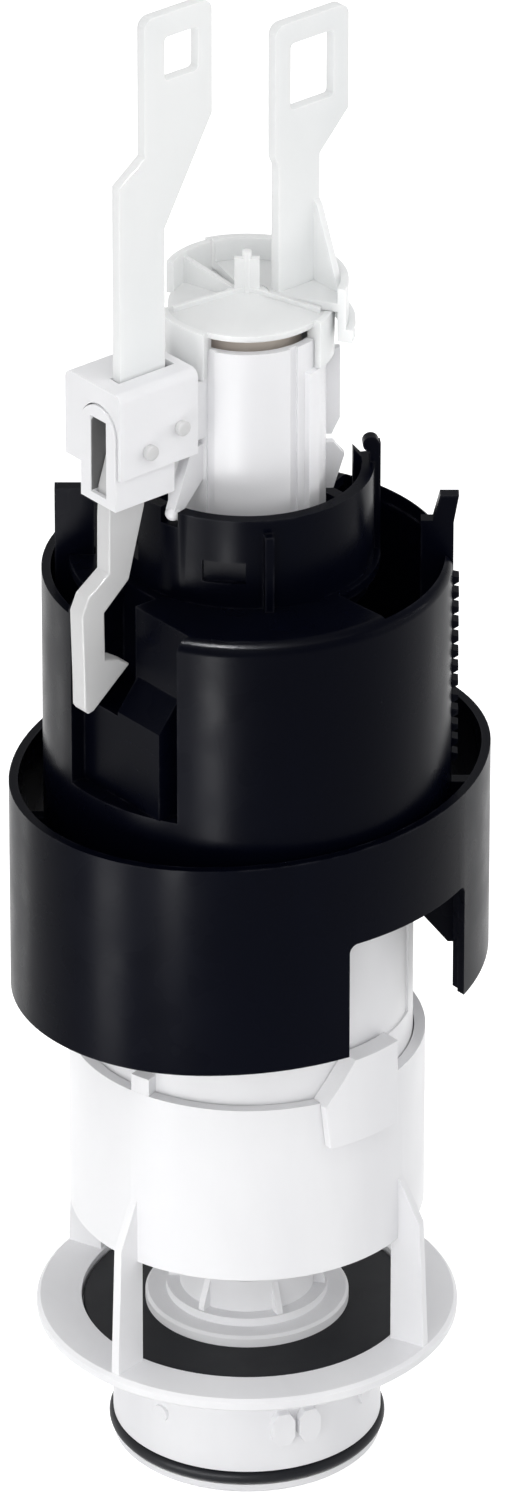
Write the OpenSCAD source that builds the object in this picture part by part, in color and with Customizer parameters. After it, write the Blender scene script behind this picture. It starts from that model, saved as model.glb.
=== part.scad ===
// Dual-flush valve of a concealed cistern.
// An outlet basket with the valve seat carries a body tube and a float housing.
// The overflow tube lifts in them with its seal, float, cap, trigger block and pull rods.
// A volume sleeve slides on the housing and sets how much water stays behind.
// Millimetres, +Z up, origin at the centre of the outlet's lower rim.
// The trigger block lies on the -X side, and angles are measured from +X.

/* [Outlet basket] */
// Outer radius of the outlet spigot
spigot_r = 30; // [28:0.5:32]
// Wall of the spigot
spigot_wall = 3.5; // [3:0.5:4.5]
// Height of the spigot below the hub
spigot_h = 28.4; // [26:0.2:34]
// Depth of the hub under the flange
hub_h = 3; // [2:0.5:5]
// Outer radius of the flange
flange_r = 47; // [44:0.5:52]
// Thickness of the flange
flange_t = 3.2; // [2.4:0.2:5]
// Depth of the seal recess below the flange's top
recess_d = 3.7; // [3:0.1:4.4]
// Height of the valve seat's bead
bead_h = 0.4; // [0.2:0.1:0.8]
// Height of the windows between the flange and the ring
window_h = 26.2; // [24:0.2:34]
// Height of the ring that takes the body tube
ring_h = 43; // [34:1:50]
// Wall of the ring
ring_wall = 2.5; // [1.6:0.1:3.5]
// Thickness of the four fins
fin_t = 2; // [1.4:0.2:3]
// Angle of the basket's front, midway between two fins
basket_front = 240.5; // [220:0.5:260]
// Angle from the basket's front to a fin
fin_spread = 49.25; // [40:0.25:56]

/* [Seals] */
// Section of the O-ring on the spigot
oring_t = 3; // [2.4:0.1:3.6]
// Height of the O-ring's middle
oring_z = 4; // [3.5:0.5:8]
// How far the O-ring stands out of the spigot
oring_proud = 0.9; // [0.5:0.1:1.2]
// Outer radius of the main seal
seal_r = 36.5; // [34:0.5:37]
// Thickness of the main seal
seal_t = 2.25; // [1.8:0.05:3]
// Radius of the clamp disc under the seal
clamp_r = 20; // [17:0.5:22]
// Radius of the foot disc above the seal
foot_r = 22.7; // [20:0.1:26]

/* [Body tube] */
// Outer radius of the body tube
body_r = 36.6; // [35:0.1:38]
// Wall of the body tube
body_wall = 2; // [1.4:0.1:2.6]
// Height of the body tube
body_h = 84; // [80:1:96]
// Depth of the body tube in the basket's ring
plug_h = 11.8; // [8:0.2:16]
// Height of the tube's lower guide
low_guide_h = 4; // [3:0.5:6]
// Width of the locking clip
clip_w = 20.2; // [16:0.2:26]
// Height of the locking clip
clip_h = 20.6; // [17:0.2:26]

/* [Float housing] */
// Outer radius of the drum
drum_r = 44.5; // [43:0.5:48]
// Wall of the drum
drum_wall = 2; // [1.6:0.1:2.4]
// Height of the drum
drum_h = 45; // [42:0.5:52]
// Depth of the drum's wall below its floor
drum_skirt = 18; // [14:0.5:20]
// Thickness of the drum's floor
floor_t = 2.5; // [2:0.1:3.5]
// Thickness of the drum's shoulder
shoulder_t = 2.2; // [1.8:0.1:3]
// Rounding of the drum's rim
rim_round = 3; // [2.5:0.1:4]
// Outer radius of the neck collar
neck_r = 27.4; // [26.6:0.1:28]
// Wall of the neck collar
neck_wall = 2.8; // [2:0.1:3]
// Height of the neck collar
neck_h = 21; // [18:0.5:22]

/* [Overflow tube] */
// Outer radius of the overflow tube
tube_r = 17; // [16.4:0.1:17.4]
// Wall of the overflow tube
tube_wall = 1.8; // [1.4:0.1:2.2]
// Height of the tube above the drum
tube_above = 55.5; // [54:0.5:62]
// Outer radius of the tube's narrow lower end
tail_r = 12.5; // [11.5:0.1:13.2]
// Gap between the main float and the body tube
float_gap = 3.6; // [2.6:0.1:6.6]
// Height of the main float
float_h = 48; // [40:1:50]
// Wall of the main float
float_wall = 1.6; // [1.2:0.1:2.4]
// Height of the overflow slot under the cap
slot_h = 3; // [2:0.2:5]
// Thickness of the cap's disc
cap_t = 1.5; // [1.2:0.1:2.5]
// Height of the cap's centre post
post_h = 12; // [8:0.5:16]

/* [Trigger] */
// Reach of the tube's bracket to the trigger block
bracket_reach = 3.6; // [3:0.1:4.2]
// Length of the trigger cover, away from the tube
cover_l = 21.4; // [20.8:0.1:22.2]
// Width of the trigger cover
cover_w = 18.6; // [17.6:0.2:20]
// Height of the trigger cover
cover_h = 20.1; // [19.6:0.1:21.5]
// Wall of the trigger cover
cover_wall = 1.2; // [0.9:0.1:1.5]
// Width of the trigger channel
channel_w = 11.7; // [11.2:0.1:12.4]
// Thickness of the trigger lever
lever_t = 4.4; // [3.8:0.1:4.6]
// Radius of the trigger's two pins
pin_r = 1.5; // [1.2:0.05:1.7]

/* [Pull rods] */
// Thickness of both pull rods
rod_t = 2.5; // [2:0.1:2.8]
// Width of the full-flush rod's head
full_head_w = 20.1; // [18:0.1:22]
// Height of the full-flush rod's head above the tube
full_head_z = 69; // [64:0.5:76]
// Width of the half-flush rod's head
half_head_w = 18.3; // [16.5:0.1:20]
// Height of the half-flush rod's head above the tube
half_head_z = 80.3; // [76:0.1:88]
// Width of the half-flush rod's stem
half_stem_w = 12.3; // [11.5:0.1:13]
// How far the half-flush rod slides up
half_travel = 5; // [4:0.5:5.5]

/* [Volume sleeve] */
// Height of the sleeve's oval skirt
sleeve_h = 50.5; // [46:0.5:54]
// Wall of the sleeve
sleeve_wall = 2; // [1.6:0.1:2.6]
// How far the skirt's ends stand outside the drum
sleeve_end = 11.6; // [10.6:0.5:14.6]
// How far the skirt's sides stand outside the drum
sleeve_side = 3.5; // [3:0.1:5]
// Radius of the skirt's round ends
sleeve_end_r = 42.5; // [40:0.5:44]
// Width of the notch in the skirt
notch_w = 36.9; // [26:0.1:38]
// Height of the notch in the skirt
notch_h = 27.6; // [24:0.2:34]
// Thickness of the rack arm and the guide arm
arm_t = 3; // [2.4:0.1:3.6]
// Pitch of the rack teeth
rack_pitch = 3.6; // [3:0.1:4.5]
// Angle of the rack arm, with the guide arm opposite
arm_angle = -39.5; // [-46:0.5:-34]

/* [Hidden] */
$fn = 96;
// Clearances
slide_gap = 0.3;
pin_fit = 0.02;
turn_fit = 0.06;
seal_gap = 0.05;
socket_gap = 0.3;
lever_gap = 0.4;
merge = 0.4;

// Heights of the basket
hub_z = spigot_h;
flange_z = hub_z + hub_h;
flange_top = flange_z + flange_t;
recess_floor = flange_top - recess_d;
seat_z = recess_floor + bead_h;
ring_z = flange_top + window_h;
ring_top = ring_z + ring_h;

// Radii of the basket
spigot_bore = spigot_r - spigot_wall;
hub_r = seal_r + 2.5;
recess_r = seal_r + 0.5;
ring_in = body_r + socket_gap;
ring_out = ring_in + ring_wall;
fin_in = recess_r + 0.6;
fin_top_in = ring_in + 0.7;
oring_c = spigot_r + oring_proud - oring_t / 2;
groove_r = oring_c - oring_t / 2 - seal_gap;
groove_half = oring_t / 2 + 0.2;

// Seal stack on the tube's end
seal_z = seat_z + seal_gap;
seal_top = seal_z + seal_t;
tail_bore = tail_r - tube_wall;
tail_in = tail_r + slide_gap;
tail_z = seal_z - 2.85;
clamp_lip = 1;
foot_t = 2.6;
foot_step = 2;
foot_hub_h = 12.4;

// Body tube and housing
body_z = ring_top - plug_h;
body_top = body_z + body_h;
body_bore = body_r - body_wall;
ledge_w = 2;
ledge_t = 2;
drum_z = body_top;
drum_foot = drum_z - drum_skirt;
drum_top = drum_z + drum_h;
drum_in = drum_r - drum_wall;
shoulder_z = drum_top - shoulder_t;
neck_in = neck_r - neck_wall;
neck_top = drum_top + neck_h;
ball_angle = 193;
guide_bore = tube_r + slide_gap;
guide_t = 3.5;

// Overflow tube, float and cap
tube_bore = tube_r - tube_wall;
tube_top = drum_top + tube_above;
cone_z = ring_z - 0.8;
cone_h = 8;
float_r = body_bore - float_gap;
float_top = body_top - 8;
float_z = float_top - float_h;
collar_r = tube_r + 4;
collar_t = 3;
cap_z = tube_top + slot_h;
cap_top = cap_z + cap_t;
skirt_in = tube_r + 0.2;
skirt_out = skirt_in + 1.6;
skirt_z = tube_top - 6.5;
foot_seat_in = tube_r - 12.4;
back_h = 7;
foot_start = -55;
foot_end = 75;

// Trigger block, placed from the tube's bracket
block_x = -(tube_r + bracket_reach);
cover_x = block_x - cover_l;
cover_top = tube_top - 1.9;
cover_z = cover_top - cover_h;
rod_y = -1.75;
cover_y = rod_y - 6.9;
channel_y = cover_y + cover_wall;
channel_x = cover_x - 0.4;
channel_z = cover_z - 7.6;
channel_top = cover_top - 4.6;
tongue_x = block_x - 8.6;
tongue_wedge = 0.65;
channel_end = tongue_x - tongue_wedge - slide_gap;
channel_far = block_x - 5.6;
channel_slot = lever_t + 2 * lever_gap;
lever_x = block_x - 13.6;
lever_z = cover_z + 4.9;
guide_x = block_x - 4.9;
guide_z = cover_z + 8;
pin_y = cover_y - 0.6;
pin_l = cover_w + 0.6;

// Lever slot and pocket in the drum
lever_slot_x = block_x - 8.9;
lever_slot_z = drum_top - 24.5;
lever_slot_y = rod_y - 3.15;
lever_slot_w = 10.9;
pocket_w = 17.9;
pocket_wall = 2;
pocket_y = lever_slot_y - pocket_w;
recess_depth = 9.5;
box_z = drum_z + 0.6;

// Volume sleeve
sleeve_top = drum_z - 6.2;
sleeve_z = sleeve_top - sleeve_h;
oval_x = 1;
oval_turn = 2.5;
oval_a = drum_r + sleeve_end;
oval_b = drum_r + sleeve_side;
oval_c = oval_a - sleeve_end_r;
oval_flat_r = (oval_c * oval_c + oval_b * oval_b - sleeve_end_r * sleeve_end_r)
    / (2 * (oval_b - sleeve_end_r));
oval_d = oval_flat_r - oval_b;
arm_in = drum_in - 1;
arm_out = drum_r + 0.1;
tab_reach = 4;
guide_in = arm_in - 8.5;
guide_foot = arm_in - 4;
slide_up = 18;
guide_web_top = drum_z - slide_up - 2;

white = [0.95, 0.95, 0.96];
milk = [0.91, 0.92, 0.92];
grey = [0.74, 0.74, 0.75];
black = [0.05, 0.055, 0.08];
rubber = [0.03, 0.03, 0.03];

// Ring between two radii and two heights
module ring(r_in, r_out, z0, z1) {
    rotate_extrude() translate([r_in, z0]) square([r_out - r_in, z1 - z0]);
}

// Part of a ring between two angles
module arc_ring(r_in, r_out, z0, z1, a0, a1) {
    rotate([0, 0, a0])
        rotate_extrude(angle = a1 - a0)
            translate([r_in, z0]) square([r_out - r_in, z1 - z0]);
}

// Outline in radius and height, as a plate that stands along a radius
module radial_plate(angle, t) {
    rotate([0, 0, angle]) translate([0, t / 2, 0]) rotate([90, 0, 0])
        linear_extrude(t) children();
}

// Outline in width and height, pushed out along a radius
module radial_push(angle, r0, r1) {
    rotate([0, 0, angle]) translate([r0, 0, 0]) rotate([90, 0, 90])
        linear_extrude(r1 - r0) children();
}

// Outline in X and Z, as a plate between two places along Y
module side_plate(y0, y1) {
    translate([0, y1, 0]) rotate([90, 0, 0]) linear_extrude(y1 - y0) children();
}

// Outline in Y and Z, as a plate between two places along X
module end_plate(x0, x1) {
    translate([x0, 0, 0]) rotate([90, 0, 90]) linear_extrude(x1 - x0) children();
}

// Rectangle from its lower left corner
module rect(x0, z0, x1, z1) {
    translate([x0, z0]) square([x1 - x0, z1 - z0]);
}

// Rectangle with four round corners
module round_rect(x0, z0, x1, z1, r) {
    rect(x0 + r, z0, x1 - r, z1);
    rect(x0, z0 + r, x1, z1 - r);
    for (x = [x0 + r, x1 - r], z = [z0 + r, z1 - r]) translate([x, z]) circle(r);
}

// Rectangle with its two upper corners rounded
module round_top(x0, z0, x1, z1, r) {
    rect(x0, z0, x1, z1 - r);
    rect(x0 + r, z0, x1 - r, z1);
    for (x = [x0 + r, x1 - r]) translate([x, z1 - r]) circle(r);
}

// What is cut off a sharp corner to round it; the signs point from the corner into the shape
module corner_cut(x, z, sx, sz, r) {
    translate([x, z]) difference() {
        translate([sx > 0 ? -merge : -r, sz > 0 ? -merge : -r]) square(r + merge);
        translate([sx * r, sz * r]) circle(r);
    }
}

// Round bar along Y
module pin_bar(x, z, r, y0, y1) {
    translate([x, y1, z]) rotate([90, 0, 0]) cylinder(r = r, h = y1 - y0);
}

// Three spokes between two radii
module spokes(r0, r1, t, z0, z1, first) {
    for (i = [0:2]) radial_plate(first + 120 * i, t) rect(r0, z0, r1, z1);
}

// Outlet basket with its spigot, seat, fins and upper ring
module seat_basket() {
    lip = 0.8;
    color(white) {
        rotate_extrude() polygon([
            [spigot_bore, 0],
            [spigot_r - lip, 0],
            [spigot_r, lip],
            [spigot_r, oring_z - groove_half],
            [groove_r, oring_z - groove_half],
            [groove_r, oring_z + groove_half],
            [spigot_r, oring_z + groove_half],
            [spigot_r, hub_z],
            [hub_r, hub_z],
            [hub_r, flange_z],
            [flange_r - lip, flange_z],
            [flange_r, flange_z + lip],
            [flange_r, flange_top - lip],
            [flange_r - lip, flange_top],
            [recess_r, flange_top],
            [recess_r, recess_floor],
            [spigot_bore + 3.5, recess_floor],
            [spigot_bore + 3.5, seat_z],
            [spigot_bore + 1.5, seat_z],
            [spigot_bore + 1.5, recess_floor],
            [spigot_bore, recess_floor]
        ]);
        ring(ring_in, ring_out, ring_z, ring_top);
        for (side = [-1, 1], turn = [0, 180]) basket_fin(basket_front + turn + side * fin_spread);
        for (turn = [0, 180]) bayonet_lug(basket_front + 10.5 + turn);
    }
}

// Fin that carries the ring, with the round bump below it on the spigot
module basket_fin(angle) {
    foot_z = flange_top - flange_t / 2;
    bump_r = 2;
    bump_z = spigot_h * 0.6;
    radial_plate(angle, fin_t) polygon([
        [fin_in, foot_z],
        [flange_r - 1, foot_z],
        [flange_r - 1, flange_top + 2],
        [flange_r - 2.2, ring_z + 5],
        [ring_out - 0.2, ring_z + 16],
        [fin_top_in, ring_z + 16],
        [fin_top_in, ring_z],
        [fin_in, ring_z - 4]
    ]);
    rotate([0, 0, angle]) translate([spigot_r - merge, 0, bump_z]) rotate([0, 90, 0])
        cylinder(r = bump_r, h = merge + 0.8);
}

// Double lug on the spigot that turns into the cistern's outlet
module bayonet_lug(angle) {
    lug_w = 5.2;
    lug_z = spigot_h * 0.46;
    lug_h = 8;
    for (side = [-1, 1])
        radial_push(angle + 5.6 * side, spigot_r - 1, spigot_r + 2) polygon([
            [-lug_w / 2, lug_z + 2],
            [-lug_w / 4, lug_z],
            [lug_w / 4, lug_z],
            [lug_w / 2, lug_z + 2],
            [lug_w / 2, lug_z + lug_h - 2],
            [lug_w / 4, lug_z + lug_h],
            [-lug_w / 4, lug_z + lug_h],
            [-lug_w / 2, lug_z + lug_h - 2]
        ]);
}

module outlet_o_ring() {
    color(rubber) rotate_extrude() translate([oring_c, oring_z]) circle(oring_t / 2);
}

// Locking plate over the basket's rim
module lock_clip() {
    clip_angle = -91;
    clip_z = ring_top - 10.8;
    clip_top = clip_z + clip_h;
    plate_in = ring_out + 0.25;
    plate_out = plate_in + 1.95;
    slant = 7.4;
    color(white) intersection() {
        union() {
            ring(plate_in, plate_out, clip_z, clip_top);
            ring(body_r + socket_gap, plate_out, ring_top, clip_top);
        }
        radial_push(clip_angle, body_r / 2, plate_out + merge) polygon([
            [-clip_w / 2 + 1.2, clip_z],
            [clip_w / 2, clip_z],
            [clip_w / 2, clip_top],
            [-clip_w / 2 + slant, clip_top],
            [-clip_w / 2, ring_top - 0.3]
        ]);
    }
}

// Inner tube from the basket to the float housing, with its bayonet lugs on the basket's rim
module body_tube() {
    lug_h = 4.2;
    panel_z = ring_top + 8;
    panel_h = 33;
    panel_arc = [-94, -54];
    lug_arc = [10.5, 17.5];
    color(white) difference() {
        union() {
            ring(body_bore, body_r, body_z, body_top);
            ring(body_bore - ledge_w, body_bore + merge, body_z, body_z + ledge_t);
            for (i = [0:2])
                arc_ring(body_r - merge, ring_out, ring_top, ring_top + lug_h,
                    lug_arc[0] + 90 * i, lug_arc[1] + 90 * i);
        }
        arc_ring(body_r - 0.5, body_r + 1, panel_z, panel_z + panel_h, panel_arc[0], panel_arc[1]);
    }
}

// Lower guide of the overflow tube, on the body tube's ledge
module lower_guide() {
    guide_z0 = body_z + ledge_t;
    guide_top = guide_z0 + low_guide_h;
    rim_out = body_bore - slide_gap;
    rim_in = rim_out - 2.4;
    color(white) {
        ring(guide_bore, guide_bore + 2, guide_z0, guide_top);
        ring(rim_in, rim_out, guide_z0, guide_top);
        spokes(guide_bore + 1, rim_in + 1, 2, guide_z0, guide_top, 30);
    }
}

// Half section of the drum: outer wall, rounded rim and shoulder, grown inwards by an inset
module drum_section(inset, top, round) {
    rect(0, drum_foot, drum_r - inset, top - round);
    rect(0, drum_foot, drum_r - inset - round, top);
    translate([drum_r - inset - round, top - round]) circle(round);
}

// Solid drum, to limit what is built inside its wall
module drum_solid() {
    rotate_extrude() drum_section(0, drum_top, rim_round);
}

// Float housing: drum with shoulder, lever recess and the slots for the sleeve's arms
module float_housing() {
    hole_r = neck_in - 1.6;
    inner_x = lever_slot_x + pocket_wall;
    block_w = pocket_w + lever_slot_w + 2 * pocket_wall;
    color(black) {
        difference() {
            union() {
                rotate_extrude() difference() {
                    drum_section(0, drum_top, rim_round);
                    difference() {
                        drum_section(drum_wall, shoulder_z, rim_round - drum_wall);
                        rect(0, drum_z, drum_r, drum_z + floor_t);
                    }
                    rect(0, drum_z, body_bore - 0.1, drum_z + floor_t);
                    rect(0, drum_z, hole_r, drum_top);
                }
                intersection() {
                    drum_solid();
                    translate([-drum_r, pocket_y - pocket_wall, drum_z + 1])
                        cube([recess_depth + pocket_wall, block_w, drum_h]);
                }
                intersection() {
                    drum_solid();
                    translate([-drum_r, pocket_y - pocket_wall, lever_slot_z - pocket_wall])
                        cube([drum_r + inner_x, block_w, drum_h]);
                }
            }
            translate([-2 * drum_r, lever_slot_y, lever_slot_z])
                cube([2 * drum_r + lever_slot_x, lever_slot_w, drum_h]);
            lever_recess();
            arm_slots();
            shoulder_window();
        }
        pocket_box();
    }
}

// Recess round the lever's foot, open to the top
module lever_recess() {
    translate([-2 * drum_r, pocket_y, box_z])
        cube([drum_r + recess_depth, lever_slot_y + lever_slot_w - pocket_y, drum_h]);
}

// Flat-faced box in the recess, with the sloped top on which the lever's barb rests
module pocket_box() {
    back_x = -drum_r + recess_depth + pocket_wall / 2;
    face_x = -drum_r + 4;
    side_y = pocket_y + 3.3;
    wedge_y = lever_slot_y - 0.6;
    wedge_h = 8;
    translate([face_x, side_y, box_z])
        cube([back_x - face_x, lever_slot_y + lever_slot_w - side_y + merge, lever_slot_z - box_z]);
    side_plate(side_y, wedge_y) polygon([
        [face_x, lever_slot_z - merge],
        [face_x, lever_slot_z + 1],
        [back_x, lever_slot_z + 1 + wedge_h],
        [back_x, lever_slot_z - merge]
    ]);
}

// Slots in which the sleeve's two arms slide: the rack's through the wall, the guide's inside it
module arm_slots() {
    slot_w = arm_t + 2 * slide_gap;
    radial_plate(arm_angle, slot_w)
        rect(arm_in - tab_reach - slide_gap, drum_foot - 1, drum_r + 10, drum_top + 10);
    radial_plate(arm_angle + 180, slot_w)
        rect(guide_in - slide_gap, drum_z - 1, arm_in + slide_gap, drum_top + 10);
    radial_plate(arm_angle + 180, slot_w)
        rect(guide_foot - slide_gap, drum_foot - 1, drum_r + 10, guide_web_top + slide_up + slide_gap);
}

// Opening in the shoulder through which the drum's far wall shows, and the low rim on the other side
module shoulder_window() {
    low_rim = drum_top - 3.4;
    window = [-86, 20];
    low_arc = [112, 171];
    arc_ring(neck_r + 1.4, drum_in + 0.4, shoulder_z - 1.6, drum_top + 5, window[0], window[1]);
    arc_ring(drum_r - rim_round - 3, drum_r + 1, low_rim, drum_top + 5, low_arc[0], low_arc[1]);
}

// Upper guide of the overflow tube, under the shoulder
module guide_ring() {
    guide_z0 = shoulder_z - guide_t;
    rim_in = neck_in - 2.6;
    rim_out = neck_in + 2.4;
    color(black) {
        ring(guide_bore, guide_bore + 2.2, guide_z0, shoulder_z);
        ring(rim_in, rim_out, guide_z0, shoulder_z);
        spokes(guide_bore + 1, rim_in + 1, 2, guide_z0, shoulder_z, 60);
    }
}

// Neck collar round the overflow tube, with its rib, window and hooked clip
module neck_collar() {
    rib_angle = -120;
    window_angle = -140;
    window_d = 1.2;
    back_top = drum_top + 5;
    back_arc = [-26, 172];
    color(black) {
        difference() {
            union() {
                ring(neck_in, neck_r, drum_top, neck_top);
                radial_plate(rib_angle, 2) rect(neck_r - 1, drum_top, neck_r + 2.1, neck_top - 3);
            }
            arc_ring(neck_in - 1, neck_r + 1, back_top, neck_top + 1, back_arc[0], back_arc[1]);
            radial_push(window_angle, neck_r - window_d, neck_r + 2)
                rect(-4.7, drum_top + 6, 4.7, drum_top + 11);
            radial_push(ball_angle, neck_in - 2, neck_r + 2)
                rect(-2.3, neck_top - 3.6, 2.3, neck_top + 1);
        }
        neck_hook();
    }
}

// Two-pronged clip on the neck: a short point and a tall round head
module neck_hook() {
    hook_angle = -35;
    hook_t = 2.5;
    hook_in = neck_in - 1.8;
    hook_out = neck_r + 1.4;
    fork_z = neck_top - 1;
    head_r = 1.8;
    radial_plate(hook_angle, hook_t) polygon([
        [hook_in, drum_top],
        [hook_out, drum_top],
        [hook_out, fork_z + 5.5],
        [hook_out - 2.4, fork_z + 5.5],
        [hook_out - 2.4, fork_z],
        [hook_in + 2.2, fork_z],
        [hook_in + 1.8, fork_z + 2.4],
        [hook_in, fork_z + 4.4]
    ]);
    radial_plate(hook_angle, hook_t)
        translate([hook_out - head_r - 0.3, fork_z + 5.2]) circle(head_r);
}

// Oval of four tangent arcs, drawn inwards by an inset
module oval(inset) {
    reach = norm([oval_c, oval_d]);
    end_r = sleeve_end_r - inset;
    side_r = oval_flat_r - inset;
    meet_x = oval_c + end_r * oval_c / reach;
    rotate(oval_turn) translate([oval_x, 0]) {
        for (side = [-1, 1]) translate([side * oval_c, 0]) circle(end_r);
        intersection() {
            translate([0, -oval_d]) circle(side_r);
            translate([0, oval_d]) circle(side_r);
            translate([-meet_x, -oval_b]) square([2 * meet_x, 2 * oval_b]);
        }
    }
}

// Oval skirt with a toothed arm and a plain one, which slide in the drum's slots
module volume_sleeve() {
    notch_x = -10;
    notch_end = notch_x + notch_w;
    notch_round = 2;
    rib_t = 1.7;
    rib_w = 2;
    rib_h = notch_h - notch_round;
    color(black) {
        difference() {
            translate([0, 0, sleeve_z]) linear_extrude(sleeve_h) difference() {
                oval(0);
                oval(sleeve_wall);
            }
            side_plate(-oval_b - 5, -oval_b / 2)
                round_rect(notch_x, sleeve_z - 10, notch_end, sleeve_z + notch_h, notch_round);
        }
        intersection() {
            translate([0, 0, sleeve_z]) linear_extrude(rib_h) difference() {
                oval(sleeve_wall / 2);
                oval(sleeve_wall + rib_t);
            }
            translate([notch_end + merge, -oval_b - 1, sleeve_z + merge]) cube([rib_w, oval_b, rib_h - 1]);
        }
        rack_arm(arm_angle);
        guide_arm(arm_angle + 180);
    }
}

// Rack arm: web to the skirt, riser with teeth, and the tab and finger at its top
module rack_arm(angle) {
    web_z = sleeve_top - 44.8;
    web_top = sleeve_top - 4.8;
    riser_top = drum_top - 4;
    tab_z = drum_top - 14;
    tab_top = drum_top + 8;
    finger_top = drum_top + 14;
    tooth_h = 1.3;
    teeth = floor((riser_top - sleeve_top) / rack_pitch);
    intersection() {
        radial_plate(angle, arm_t) polygon([
            [arm_in - tab_reach, web_z + 8],
            [arm_in + 2.6, web_z],
            [oval_a, web_z],
            [oval_a, web_top],
            [arm_in - tab_reach, web_top]
        ]);
        translate([0, 0, sleeve_z]) linear_extrude(sleeve_h) oval(sleeve_wall / 2);
    }
    radial_plate(angle, arm_t) {
        rect(arm_in, web_top - merge, arm_out, tab_top);
        polygon([
            [arm_in - tab_reach, tab_z],
            [arm_in + 1, tab_z - 5],
            [arm_in + 1, tab_top],
            [arm_in - tab_reach, tab_top]
        ]);
        polygon([
            [arm_in - 1.5, tab_top - merge],
            [arm_out, tab_top - merge],
            [arm_out + 1.1, finger_top],
            [arm_out - 3, finger_top]
        ]);
        for (i = [0:teeth - 1])
            translate([arm_out, sleeve_top + i * rack_pitch]) polygon([
                [-merge, 0],
                [tooth_h, rack_pitch * 0.3],
                [tooth_h, rack_pitch * 0.6],
                [-merge, rack_pitch * 0.7]
            ]);
    }
}

// Guide arm: web to the skirt, and a plain riser with a wide tab inside the drum
module guide_arm(angle) {
    web_z = sleeve_top - 44.8;
    tab_z = drum_top - 9;
    tab_top = drum_top + 15.8;
    intersection() {
        radial_plate(angle, arm_t) rect(guide_foot, web_z, oval_a, guide_web_top);
        translate([0, 0, sleeve_z]) linear_extrude(sleeve_h) oval(sleeve_wall / 2);
    }
    radial_plate(angle, arm_t) polygon([
        [guide_foot, guide_web_top - merge],
        [arm_in, guide_web_top - merge],
        [arm_in, tab_top],
        [guide_in, tab_top],
        [guide_in, tab_z],
        [guide_foot, tab_z - 6]
    ]);
}

// Overflow tube with the features on its outside
module overflow_tube() {
    groove_d = 0.8;
    groove_w = 2;
    groove_z = neck_top - 6;
    groove_angles = [-93, 203];
    bead_angle = -77;
    bead_w = 3.5;
    color(white) {
        difference() {
            union() {
                rotate_extrude() polygon([
                    [tail_bore, tail_z],
                    [tail_r, tail_z],
                    [tail_r, cone_z],
                    [tube_r, cone_z + cone_h],
                    [tube_r, float_z - collar_t],
                    [collar_r, float_z - collar_t],
                    [collar_r, float_z],
                    [tube_r, float_z],
                    [tube_r, tube_top],
                    [tube_bore, tube_top],
                    [tube_bore, cone_z + cone_h],
                    [tail_bore, cone_z]
                ]);
                tube_wing();
                radial_plate(bead_angle, bead_w) rect(tube_r - 1, groove_z, tube_r + 1.2, skirt_z - 0.3);
                trigger_bracket();
            }
            for (angle = groove_angles)
                radial_plate(angle, groove_w)
                    rect(tube_r - groove_d, groove_z, tube_r + 1, tube_top + 1);
        }
    }
}

// Wing on the tube and the pointed hook below it
module tube_wing() {
    wing_angle = -35;
    wing_z = neck_top + 7;
    wing_top = skirt_z - 0.5;
    radial_plate(wing_angle, 2) polygon([
        [tube_r - 0.6, wing_z],
        [tube_r + 1.2, wing_z],
        [tube_r + 3, wing_z + 4],
        [tube_r + 3, wing_top],
        [tube_r - 0.6, wing_top]
    ]);
    radial_plate(wing_angle, 2) polygon([
        [tube_r - 0.6, neck_top - 6],
        [tube_r + 1.6, neck_top - 6],
        [tube_r + 4, neck_top + 2],
        [tube_r + 1.6, neck_top + 5],
        [tube_r - 0.6, neck_top + 5]
    ]);
}

// Bracket that carries the trigger block, with the ball-ended arm below it
module trigger_bracket() {
    half_w = 6;
    ball_r = 1.7;
    arm_w = 2.4;
    ball_reach = neck_in + 1.4;
    ball_z = neck_top - 1.3;
    arm_top = cover_z - 0.5;
    end_plate(block_x, -tube_r + 1.5) rect(-half_w, cover_z + 1.5, half_w, skirt_z - 0.3);
    rotate(ball_angle) translate([ball_reach, 0, ball_z]) sphere(ball_r);
    radial_plate(ball_angle, arm_w) polygon([
        [tube_r - 0.6, arm_top - 8],
        [ball_reach - 1.4, ball_z - 0.4],
        [ball_reach + 1, ball_z + 1],
        [tube_r + 4, arm_top],
        [tube_r - 0.6, arm_top]
    ]);
}

// Clamp disc under the seal, with a lip below the tube's end
module seal_clamp() {
    color(white) rotate_extrude() polygon([
        [tail_bore, tail_z - clamp_lip],
        [clamp_r - 1, tail_z - clamp_lip],
        [clamp_r, tail_z],
        [clamp_r, seal_z],
        [tail_in, seal_z],
        [tail_in, tail_z],
        [tail_bore, tail_z]
    ]);
}

module main_seal() {
    color(rubber) ring(tail_in, seal_r, seal_z, seal_top);
}

// Stepped foot disc above the seal, with radial ribs to its hub
module seal_plate() {
    step_r = foot_r - 4.7;
    hub_out = tail_in + 2.2;
    step_z = seal_top + foot_t;
    rib_count = 6;
    color(white) {
        rotate_extrude() polygon([
            [tail_in, seal_top],
            [foot_r, seal_top],
            [foot_r, step_z - 0.6],
            [foot_r - 0.6, step_z],
            [step_r, step_z],
            [step_r, step_z + foot_step],
            [hub_out, step_z + foot_step],
            [hub_out, seal_top + foot_hub_h],
            [tail_in, seal_top + foot_hub_h]
        ]);
        for (i = [0:rib_count - 1])
            radial_plate(360 / rib_count * i + 15, 1.4) polygon([
                [hub_out - 1, step_z],
                [step_r - 0.5, step_z],
                [step_r - 0.5, step_z + foot_step + 1],
                [hub_out, seal_top + foot_hub_h - 1],
                [hub_out - 1, seal_top + foot_hub_h - 1]
            ]);
    }
}

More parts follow.
